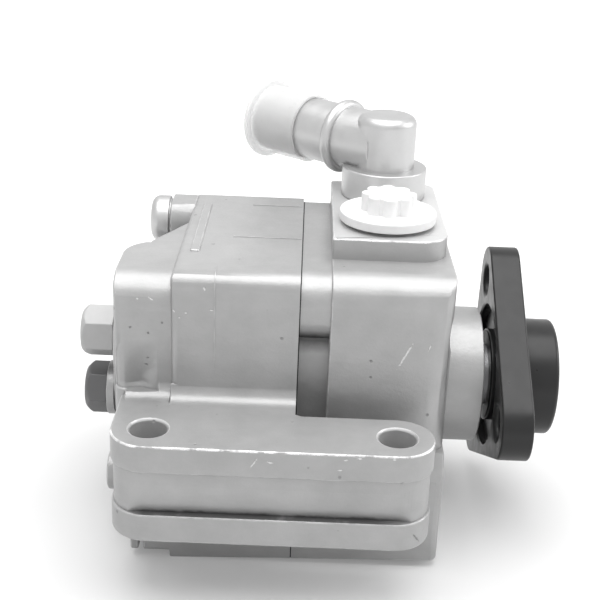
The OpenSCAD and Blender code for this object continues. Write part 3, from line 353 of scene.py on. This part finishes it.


# The casting's metal: skin greys, then pits, dark knocks, bright rubs, bore rims, painted highlight and
# painted shade
CAST_DARK, CAST_LIGHT, RUBBED_TONE, BORE_RIM_AND_HIGHLIGHT_TONE, PAINTED_SHADE_TONE = 0.37, 0.43, 0.9, 0.8, 0.05
CAST_METALLIC, CAST_ROUGH, CAST_ROUGH_SPREAD, RUBBED_GLOSS = 0.4, 0.38, 0.07, 0.12
CAST_RUBBED, CAST_BUMP, CAST_BUMP_DEEP = 0.5, 0.7, 0.00016
cast_aluminium, cast_tree, cast_shader, cast_where = new_finish("cast_aluminium")
cast_shader.inputs["Metallic"].default_value = CAST_METALLIC
surface = with_group(cast_tree, skin, cast_where).outputs
edge_mark = cast_tree.nodes.new("ShaderNodeAttribute")
edge_mark.attribute_name = "edge"
rubbed = with_group(cast_tree, wear, cast_where)
rubbed.inputs["Amount"].default_value = CAST_RUBBED
cast_tree.links.new(edge_mark.outputs["Fac"], rubbed.inputs["Edge"])
hit = with_group(cast_tree, knocks, cast_where).outputs
rims_highlight_shade = with_group(cast_tree, places, cast_where).outputs
streaks = remap(cast_tree, surface["Streak"], 0.45, 0.75, 0.0, 0.15)
knocked = combine(cast_tree, "MULTIPLY", hit["Bright"], 0.55)
rubbed_all = combine(cast_tree, "MAXIMUM", rubbed.outputs["Wear"], knocked)
tone = blend(cast_tree, surface["Blotch"], grey(CAST_DARK), grey(CAST_LIGHT))
# Laid on in turn: streaks, pits, dark knocks, rubs, bore rims with the painted highlight, painted shade
for share, laid_on in ((streaks, 1.15 * CAST_LIGHT),
                       (combine(cast_tree, "MULTIPLY", surface["Pits"], 0.6), 0.5 * CAST_DARK),
                       (combine(cast_tree, "MULTIPLY", hit["Dark"], 0.6), 0.35 * CAST_DARK),
                       (rubbed_all, RUBBED_TONE), (rims_highlight_shade["Bore"], BORE_RIM_AND_HIGHLIGHT_TONE),
                       (combine(cast_tree, "MULTIPLY", rims_highlight_shade["Grime"], 0.88), PAINTED_SHADE_TONE)):
    tone = blend(cast_tree, share, tone, grey(laid_on))
cast_tree.links.new(tone, cast_shader.inputs["Base Color"])
rough = remap(cast_tree, surface["Grain"], 0.25, 0.75, CAST_ROUGH - CAST_ROUGH_SPREAD,
              CAST_ROUGH + CAST_ROUGH_SPREAD)
rough = combine(cast_tree, "SUBTRACT", rough, combine(cast_tree, "MULTIPLY", rubbed_all, RUBBED_GLOSS))
cast_tree.links.new(rough, cast_shader.inputs["Roughness"])
relief = combine(cast_tree, "ADD", combine(cast_tree, "MULTIPLY", surface["Streak"], 0.7),
                 combine(cast_tree, "MULTIPLY", surface["Grain"], 0.4))
hollow = combine(cast_tree, "ADD", surface["Pits"], combine(cast_tree, "ADD", hit["Dark"], hit["Bright"]))
bumped(cast_tree, cast_shader, combine(cast_tree, "SUBTRACT", relief, hollow), CAST_BUMP, CAST_BUMP_DEEP)

rear_casting = soft_edged("rear_housing", "housing", REAR_EDGE, nick=CAST_NICK,
                          worn=cast_wear, sharp=CAST_RIM)
rear_casting.data.materials.append(cast_aluminium)


# Soft hollows of the rear housing: the die leaves the scoop beside the step and the cove of the foot
# with eased rims, so each is lined with a skin of the same metal that meets the wall at a tangent.
FLUSH, BURIED = -0.000005, 0.00003
LOBE_Y, LOBE_CORNER_X, LOBE_CORNER_R = -0.0306, -0.1058, 0.0025
SCOOP_Z, SCOOP_TALL, SCOOP_DEPTH, SCOOP_BACK_Y = 0.0064, 0.0134, 0.0027, -0.027
SCOOP_SIDE_X, SCOOP_REACH, SCOOP_FOOT = -0.1025, 0.00508, 0.0015
SCOOP_FADE_X, SCOOP_FADE = -0.1065, 0.0055
LUMP_X, LUMP_Z, LUMP_R = -0.0976, 0.007, 0.0055
COVE_R, COVE_AXIS_Y, COVE_SHARE, COVE_BACK_Y = 0.016, -0.0716, 0.94, -0.054
FOOT_Y, FOOT_R, FOOT_ENDS = -0.0484, 0.0088, (-0.0974, -0.0362)
RIM_OVER, RIM_ROUND = 0.0015, 0.0045


def eased(value):
    value = min(1.0, max(0.0, value))
    return value * value * (3 - 2 * value)


def root_of(value):
    return math.sqrt(max(0.0, value))


def scoop_skin(x, z):
    past = min(LOBE_CORNER_R, max(0.0, LOBE_CORNER_X - x))
    corner = LOBE_CORNER_R - root_of(LOBE_CORNER_R ** 2 - past ** 2)
    up = max(0.0, z - SCOOP_Z) / SCOOP_TALL
    across = max(0.0, x - SCOOP_SIDE_X) / SCOOP_REACH
    if up >= 1 or across >= 1:
        return LOBE_Y + corner + (FLUSH if max(up, across) < 1.1 else BURIED)
    depth = SCOOP_DEPTH * (1 - up) ** 1.5 * (1 - across ** 2)
    depth *= 0.4 + 0.6 * eased((x - SCOOP_FADE_X) / SCOOP_FADE)
    depth *= 1 - 0.8 * eased(1 - math.hypot(x - LUMP_X, z - LUMP_Z) / LUMP_R)
    return LOBE_Y + corner + depth * (1 - 0.4 * eased(1 - (z - SCOOP_Z) / SCOOP_FOOT))


def cove_skin(x, z):
    past = max(0.0, FOOT_ENDS[0] - x, x - FOOT_ENDS[1])
    wall = FOOT_Y - root_of(FOOT_R ** 2 - past ** 2)
    top = root_of(COVE_R ** 2 - past ** 2 - (wall - COVE_AXIS_Y) ** 2)
    height = max(0.0, z - SEAT_Z)
    if height >= top:
        return wall + (FLUSH if height < top + RIM_OVER and past < RIM_ROUND else BURIED)
    deepest = COVE_AXIS_Y + root_of(COVE_R ** 2 - past ** 2) - wall
    return wall + COVE_SHARE * deepest * (1 - height / top) ** 2


def line_hollow(name, columns, rows, skin_at, back):
    shape = bmesh.new()
    front, rear = ([[shape.verts.new((x, skin_at(x, z) if seen else back, z)) for z in rows]
                    for x in columns] for seen in (True, False))
    last, top = len(columns) - 1, len(rows) - 1
    for sheet in (front, rear):
        for i in range(last):
            for j in range(top):
                shape.faces.new((sheet[i][j], sheet[i + 1][j], sheet[i + 1][j + 1], sheet[i][j + 1]))
    border = ([(i, 0) for i in range(last)] + [(last, j) for j in range(top)]
              + [(i, top) for i in range(last, 0, -1)] + [(0, j) for j in range(top, 0, -1)])
    for (i, j), (k, m) in zip(border, border[1:] + border[:1]):
        shape.faces.new((front[i][j], front[k][m], rear[k][m], rear[i][j]))
    bmesh.ops.recalc_face_normals(shape, faces=shape.faces)
    lining = set_in_scene(shape, name)
    lining.data.materials.append(cast_aluminium)
    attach(lining, "housing")


scoop_columns = [-0.1081 + 0.00028 * k for k in range(42)]
scoop_rows = [0.0062 + 0.0003 * k for k in range(54)]
line_hollow("scoop_lining", scoop_columns, scoop_rows, scoop_skin, SCOOP_BACK_Y)
end_steps = [0.0004 * k for k in range(13)]
cove_columns = ([FOOT_ENDS[0] - step for step in reversed(end_steps)]
                + [FOOT_ENDS[0] + 0.0051 * k for k in range(1, 12)]
                + [FOOT_ENDS[1] + step for step in end_steps])
cove_rows = [SEAT_Z - 0.0002 + 0.0004 * k for k in range(24)]
line_hollow("cove_lining", cove_columns, cove_rows, cove_skin, COVE_BACK_Y)


# Flash lines of the rear housing: where the die's inserts meet, a hair of metal stands proud. One runs
# up the front wall and over the top round, and two lie on the top face towards the joint.
FLASH_RISE, FLASH_ROOT, FLASH_EDGE, FLASH_WORN = 0.0002, 0.0003, 0.00006, 0.15
WALL_Y, TOP_Z, TOP_ROUND = -0.032, 0.0392, 0.0045
WALL_FLASH_X, WALL_FLASH_Z, WALL_FLASH_OVER = (-0.08292, -0.08262), 0.0135, 0.0022
TOP_FLASH_WIDE, TOP_FLASH_TALL = 0.0005, 0.0006
TOP_FLASHES = (("top_flash_front", -0.0802, -0.0022, 0.0184), ("top_flash_back", -0.0764, 0.0262, 0.0145))
CORNER_TURN = 1.0


def finish_flash(shape, name):
    bmesh.ops.recalc_face_normals(shape, faces=shape.faces)
    mark = shape.loops.layers.float.new("edge")
    corners = [e for e in shape.edges if e.calc_face_angle(0) > CORNER_TURN]
    bmesh.ops.bevel(shape, geom=corners, offset=FLASH_EDGE, offset_type="OFFSET", segments=2,
                    profile=0.5, affect="EDGES", material=-1)
    for face in shape.faces:
        for corner in face.loops:
            corner[mark] = FLASH_WORN
    ridge = set_in_scene(shape, name, soft=False)
    ridge.data.materials.append(cast_aluminium)
    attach(ridge, "housing")


seam = bmesh.new()
run = [(WALL_Y, WALL_FLASH_Z, 0.0)]
run += [(WALL_Y + TOP_ROUND * (1 - math.cos(turn)), TOP_Z - TOP_ROUND * (1 - math.sin(turn)), turn)
        for turn in (math.radians(9 * k) for k in range(11))]
run += [(WALL_Y + TOP_ROUND + WALL_FLASH_OVER, TOP_Z, math.pi / 2)]
section = ((WALL_FLASH_X[0], -FLASH_ROOT), (WALL_FLASH_X[1], -FLASH_ROOT),
           (WALL_FLASH_X[1], FLASH_RISE), (WALL_FLASH_X[0], FLASH_RISE))
rings = [[seam.verts.new((x, y - rise * math.cos(turn), z + rise * math.sin(turn))) for x, rise in section]
         for y, z, turn in run]
for lower, upper in zip(rings, rings[1:]):
    for k in range(4):
        seam.faces.new((lower[k], lower[(k + 1) % 4], upper[(k + 1) % 4], upper[k]))
seam.faces.new(rings[0])
seam.faces.new(rings[-1])
finish_flash(seam, "wall_flash")

for name, start, back, length in TOP_FLASHES:
    line = bmesh.new()
    bmesh.ops.create_cube(line, size=1.0)
    bmesh.ops.scale(line, verts=line.verts, vec=(length, TOP_FLASH_WIDE, TOP_FLASH_TALL))
    bmesh.ops.translate(line, verts=line.verts,
                        vec=(start + length / 2, back, TOP_Z - FLASH_ROOT + FLASH_RISE))
    finish_flash(line, name)


# Body gasket: a thin dark sheet, punched to the outline of the joint and pressed between the two
# castings. It is seen only as the line between them.
gasket_sheet, gasket_tree, gasket_shader, gasket_where = new_finish("gasket_sheet")
gasket_tone = blend(gasket_tree, noise(gasket_tree, gasket_where, 900.0), grey(0.02), grey(0.06))
gasket_tree.links.new(gasket_tone, gasket_shader.inputs["Base Color"])
gasket_shader.inputs["Roughness"].default_value = 0.8


def give(nodes, material):
    for name in nodes:
        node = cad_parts[name]
        node.data.materials.clear()
        node.data.materials.append(material)


give(["body_gasket"], gasket_sheet)


# Front housing: the second casting, with the nose round the shaft seal and the raised port block.
# It comes from the same die shop, so it has the same skin.
FRONT_EDGE = 0.00045
front_casting = soft_edged("front_housing", "housing", FRONT_EDGE, nick=CAST_NICK,
                           worn=cast_wear, sharp=CAST_RIM)
front_casting.data.materials.append(cast_aluminium)


# Vane cartridge: a cam ring between two lapped iron plates on dowel pins, and inside it a ground
# steel rotor with its ten vanes. It all runs in oil, so each face has a thin uneven film.
FILM_SCALE, FILM_SHARE, FILM_ROUGH = 260.0, 0.1, 0.06
GRINDING_SCALE, GRINDING_BUMP, GRINDING_DEEP = 2500.0, 0.05, 0.00004


def oiled_metal(name, tone, roughness, metallic=0.9):
    material, tree, shader, where = new_finish(name)
    shader.inputs["Metallic"].default_value = metallic
    film = noise(tree, where, FILM_SCALE, detail=5.0, roughness=0.6)
    shade = blend(tree, film, tuple((1 - FILM_SHARE) * c for c in tone),
                  tuple(min(1.0, (1 + FILM_SHARE) * c) for c in tone))
    tree.links.new(shade, shader.inputs["Base Color"])
    gloss = remap(tree, film, 0.3, 0.7, roughness - FILM_ROUGH, roughness + FILM_ROUGH)
    tree.links.new(gloss, shader.inputs["Roughness"])
    bumped(tree, shader, noise(tree, where, GRINDING_SCALE, detail=2.0), GRINDING_BUMP, GRINDING_DEEP)
    return material


lapped_iron = oiled_metal("lapped_iron", (0.36, 0.36, 0.37), 0.38)
ground_steel = oiled_metal("ground_steel", (0.4, 0.4, 0.41), 0.38)
give(["front_plate", "cam_ring", "pressure_plate"], lapped_iron)
give(["dowel_pins", "disc_spring", "rotor", "rotor_clip"], ground_steel)
give([f"vane_{k}" for k in range(1, 11)], ground_steel)


# Bearings and seals: bronze bushes pressed into the two castings, moulded nitrile rings, and the lip
# seal that shows in the gap behind the flange, with its steel garter spring and clip.
bearing_bronze = oiled_metal("bearing_bronze", (0.55, 0.42, 0.22), 0.35)
nitrile = oiled_metal("nitrile", grey(0.022), 0.55, 0.0)
give(["front_bush", "rear_bush"], bearing_bronze)
give(["plate_seal", "elbow_seal", "valve_plug_seal", "shaft_seal"], nitrile)
give(["garter_spring", "seal_clip"], ground_steel)


# Flow control valve: a ground steel spool and a coil of steel wire between it and the valve plug.
give(["valve_spool"], ground_steel)
coil_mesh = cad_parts["valve_spring"].data.copy()
coil_mesh.materials.clear()
coil_mesh.materials.append(ground_steel)
coil = bpy.data.objects.new("valve_spring_finished", coil_mesh)
bpy.context.scene.collection.objects.link(coil)
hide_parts("valve_spring")
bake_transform(coil)


# Housing screws: four socket screws in blackened steel, sunk in counterbores in the nose end of the
# front housing. They hold the two castings together.
SCREW_EDGE = 0.0003
black_oxide = oiled_metal("black_oxide", (0.14, 0.14, 0.142), 0.4, 0.7)
screws = soft_edged("housing_screws", "housing", SCREW_EDGE)
screws.data.materials.append(black_oxide)


# Drive shaft and flange: a ground steel shaft with the three-lobed flange pressed on. The flange is
# forged, machined all over and phosphated black.
FLANGE_EDGE, PHOSPHATE_SHEEN = 0.0006, 0.36
give(["drive_shaft"], ground_steel)
black_phosphate = oiled_metal("black_phosphate", (0.014, 0.014, 0.0143), 0.33, 0.0)
phosphate_shader = black_phosphate.node_tree.nodes["Principled BSDF"]
phosphate_shader.inputs["Specular IOR Level"].default_value = PHOSPHATE_SHEEN
flange = soft_edged("drive_flange", "drive", FLANGE_EDGE, bands=3)
flange.data.materials.append(black_phosphate)


# Suction elbow: a steel casting with a turned collar and a drawn pipe, zinc plated to a soft shine.
# It stands in the top of the front housing on a seal ring.
ELBOW_EDGE = 0.0005
zinc_plate = oiled_metal("zinc_plate", grey(0.53), 0.42)
elbow = soft_edged("suction_elbow", "housing", ELBOW_EDGE)
elbow.data.materials.append(zinc_plate)


# Dust cap: a blow-moulded cup in milky soft plastic, pushed over the end of the pipe. Its wall is thin,
# so the pipe shows through it.
CAP_MOUTH, CAP_LENGTH, CAP_END, CAP_EDGE = 0.0272, 0.0176, 0.0014, 0.00025
CAP_IN_R, CAP_OUT_R, CAP_LIP_R = 0.0092, 0.0101, 0.0117
CAP_TIP, CAP_FLOOR = CAP_MOUTH + CAP_LENGTH, CAP_MOUTH + CAP_LENGTH - CAP_END
CAP_STEPS, CAP_SAME_POINT, CAP_ALPHA = 96, 1e-6, 0.5
PIPE_ROOT, PIPE_TURN = Vector((-0.0388, 0.0242, 0.059)), math.radians(40)
milky, milky_tree, milky_shader, milky_where = new_finish("milky_plastic")
milky_tone = blend(milky_tree, noise(milky_tree, milky_where, 120.0), grey(0.82), grey(0.9))
milky_tree.links.new(milky_tone, milky_shader.inputs["Base Color"])
milky_gloss = remap(milky_tree, noise(milky_tree, milky_where, 300.0), 0.3, 0.7, 0.25, 0.4)
milky_tree.links.new(milky_gloss, milky_shader.inputs["Roughness"])
milky_shader.inputs["Alpha"].default_value = CAP_ALPHA
cup = bmesh.new()
outline = [cup.verts.new((radius, 0, reach)) for radius, reach in (
    (0, CAP_TIP), (CAP_LIP_R, CAP_TIP), (CAP_LIP_R, CAP_FLOOR), (CAP_OUT_R, CAP_FLOOR),
    (CAP_OUT_R, CAP_MOUTH), (CAP_IN_R, CAP_MOUTH), (CAP_IN_R, CAP_FLOOR), (0, CAP_FLOOR))]
rim_line = [cup.edges.new(pair) for pair in zip(outline, outline[1:])]
bmesh.ops.spin(cup, geom=outline + rim_line, cent=(0, 0, 0), axis=(0, 0, 1), dvec=(0, 0, 0),
               angle=2 * math.pi, steps=CAP_STEPS, use_merge=True, use_duplicate=False)
bmesh.ops.remove_doubles(cup, verts=cup.verts, dist=CAP_SAME_POINT)
bmesh.ops.recalc_face_normals(cup, faces=cup.faces)
cup_rims = [e for e in cup.edges if e.is_convex and e.calc_face_angle(0) > CORNER_TURN]
bmesh.ops.bevel(cup, geom=cup_rims, offset=CAP_EDGE, offset_type="OFFSET", segments=3, profile=0.5,
                affect="EDGES", material=-1)
onto_pipe = (Matrix.Translation(PIPE_ROOT) @ Matrix.Rotation(math.pi - PIPE_TURN, 4, "Z")
             @ Matrix.Rotation(math.pi / 2, 4, "Y"))
bmesh.ops.transform(cup, matrix=onto_pipe, verts=cup.verts)
cap = set_in_scene(cup, "dust_cap_finished")
cap.data.materials.append(milky)
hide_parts("dust_cap")
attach(cap, "cap")


# Port plug: a moulded white plastic plug with a fluted knob. It is pushed into the pressure port to
# keep dirt out in transit.
PLUG_EDGE = 0.0004
white_moulding = oiled_metal("white_moulding", grey(0.86), 0.45, 0.0)
plug = soft_edged("port_plug", "stopper", PLUG_EDGE)
plug.data.materials.append(white_moulding)


# Rear plug, bleed screw and valve plug: turned from steel bar, plated or blackened, and screwed into
# the rear housing. The bleed screw seals on a thick aluminium washer.
HEX_EDGE, HEX_RIM, WASHER_EDGE = 0.0003, 28.0, 0.0002
dull_zinc = oiled_metal("dull_zinc", grey(0.47), 0.5, 0.15)
for node, finish, slot in (("gallery_plug", dull_zinc, "plated_steel"),
                           ("bleed_screw", black_oxide, "dark_steel"),
                           ("valve_plug", zinc_plate, "plated_steel")):
    turned = soft_edged(node, "housing", HEX_EDGE, sharp=HEX_RIM)
    turned.data.materials.append(finish)
washer = soft_edged("bleed_washer", "housing", WASHER_EDGE)
washer.data.materials.append(cast_aluminium)


# Floor: a flat pale sheet under the pump, which keeps its soft shadow. It glows to the camera and in
# the gloss, weakly near the pump and strongly away from it: a painted shadow round the pump, white beyond.
FLOOR_Z, FLOOR_HALF = cad_box[0].z, 3.0
sweep = bmesh.new()
bmesh.ops.create_grid(sweep, x_segments=1, y_segments=1, size=FLOOR_HALF)
bmesh.ops.translate(sweep, verts=sweep.verts, vec=(0, 0, FLOOR_Z))
floor = set_in_scene(sweep, "floor", soft=False)
pale, pale_tree, pale_shader, pale_where = new_finish("pale_floor")
pale_shader.inputs["Base Color"].default_value = grey(0.62) + (1,)
pale_shader.inputs["Roughness"].default_value = 0.7


def seen_white(tree):
    # 1 for what the camera, a gloss or a clear plastic looks at, 0 for the light that falls on the pump
    ray = tree.nodes.new("ShaderNodeLightPath")
    seen = combine(tree, "MAXIMUM", ray.outputs["Is Camera Ray"], ray.outputs["Is Glossy Ray"])
    return combine(tree, "MAXIMUM", seen, ray.outputs["Is Transmission Ray"])


# Painted shadow: the glow grows with the distance from the pump, so the floor near it is darker
pale_reach = pale_tree.nodes.new("ShaderNodeVectorMath")
pale_reach.operation = "DISTANCE"
pale_reach.inputs[1].default_value = (-0.06, 0.0, FLOOR_Z)
pale_tree.links.new(pale_where, pale_reach.inputs[0])
glow_with_painted_shadow = remap(pale_tree, pale_reach.outputs["Value"], 0.07, 0.3, 0.18, 0.6)
glow_with_painted_shadow = combine(pale_tree, "MULTIPLY", seen_white(pale_tree), glow_with_painted_shadow)
pale_tree.links.new(glow_with_painted_shadow, pale_shader.inputs["Emission Strength"])
pale_shader.inputs["Emission Color"].default_value = (1, 1, 1, 1)
floor.data.materials.append(pale)


# Light: a white room that darkens towards the horizon, and one soft lamp overhead for the top rounds,
# with a weaker one beyond the flange.
world = bpy.data.worlds.new("white_room")
world.use_nodes = True
bpy.context.scene.world = world
room = world.node_tree
backdrop = room.nodes["Background"]
backdrop.inputs["Color"].default_value = (1, 1, 1, 1)
room_way = room.nodes.new("ShaderNodeTexCoord").outputs["Generated"]
room_glow = remap(room, axes_of(room, room_way)["Z"], 0.0, 0.9, 0.1, 1.0)
room.links.new(combine(room, "MAXIMUM", room_glow, seen_white(room)), backdrop.inputs["Strength"])


def soft_lamp(name, place, aim, size, power):
    lamp = bpy.data.lights.new(name, "AREA")
    lamp.shape = "DISK"
    lamp.size = size
    lamp.energy = power
    holder = bpy.data.objects.new(name, lamp)
    holder.location = place
    holder.rotation_euler = (Vector(aim) - Vector(place)).to_track_quat("-Z", "Y").to_euler()
    bpy.context.scene.collection.objects.link(holder)


MIDDLE = (-0.055, 0.0, 0.0)
soft_lamp("overhead", (-0.06, -0.06, 0.7), MIDDLE, size=0.8, power=5.2)
soft_lamp("side", (0.6, 0.05, 0.35), MIDDLE, size=0.4, power=1.5)


# Camera: the photograph's place in front of the foot, looking down at the shaft by 22.5 degrees and
# turned 2.3 degrees about its own axis.
CAMERA_PLACE, LENS_MM, SENSOR_MM, CLIP_START = (-0.0615, -0.2963, 0.1432), 69.0, 36.0, 0.01
PITCH, ROLL = math.radians(22.5), math.radians(2.3)
right = Vector((1, 0, 0))
ahead = Vector((0, math.cos(PITCH), -math.sin(PITCH)))
up = right.cross(ahead)
rolled_right = math.cos(ROLL) * right + math.sin(ROLL) * up
rolled_up = math.cos(ROLL) * up - math.sin(ROLL) * right
lens = bpy.data.cameras.new("camera")
lens.lens = LENS_MM
lens.sensor_width = SENSOR_MM
lens.clip_start = CLIP_START
camera = bpy.data.objects.new("camera", lens)
camera.matrix_world = Matrix.Translation(CAMERA_PLACE) @ Matrix(
    (rolled_right, rolled_up, -ahead)).transposed().to_4x4()
bpy.context.scene.collection.objects.link(camera)
bpy.context.scene.camera = camera
bpy.context.scene.view_settings.view_transform = "Standard"
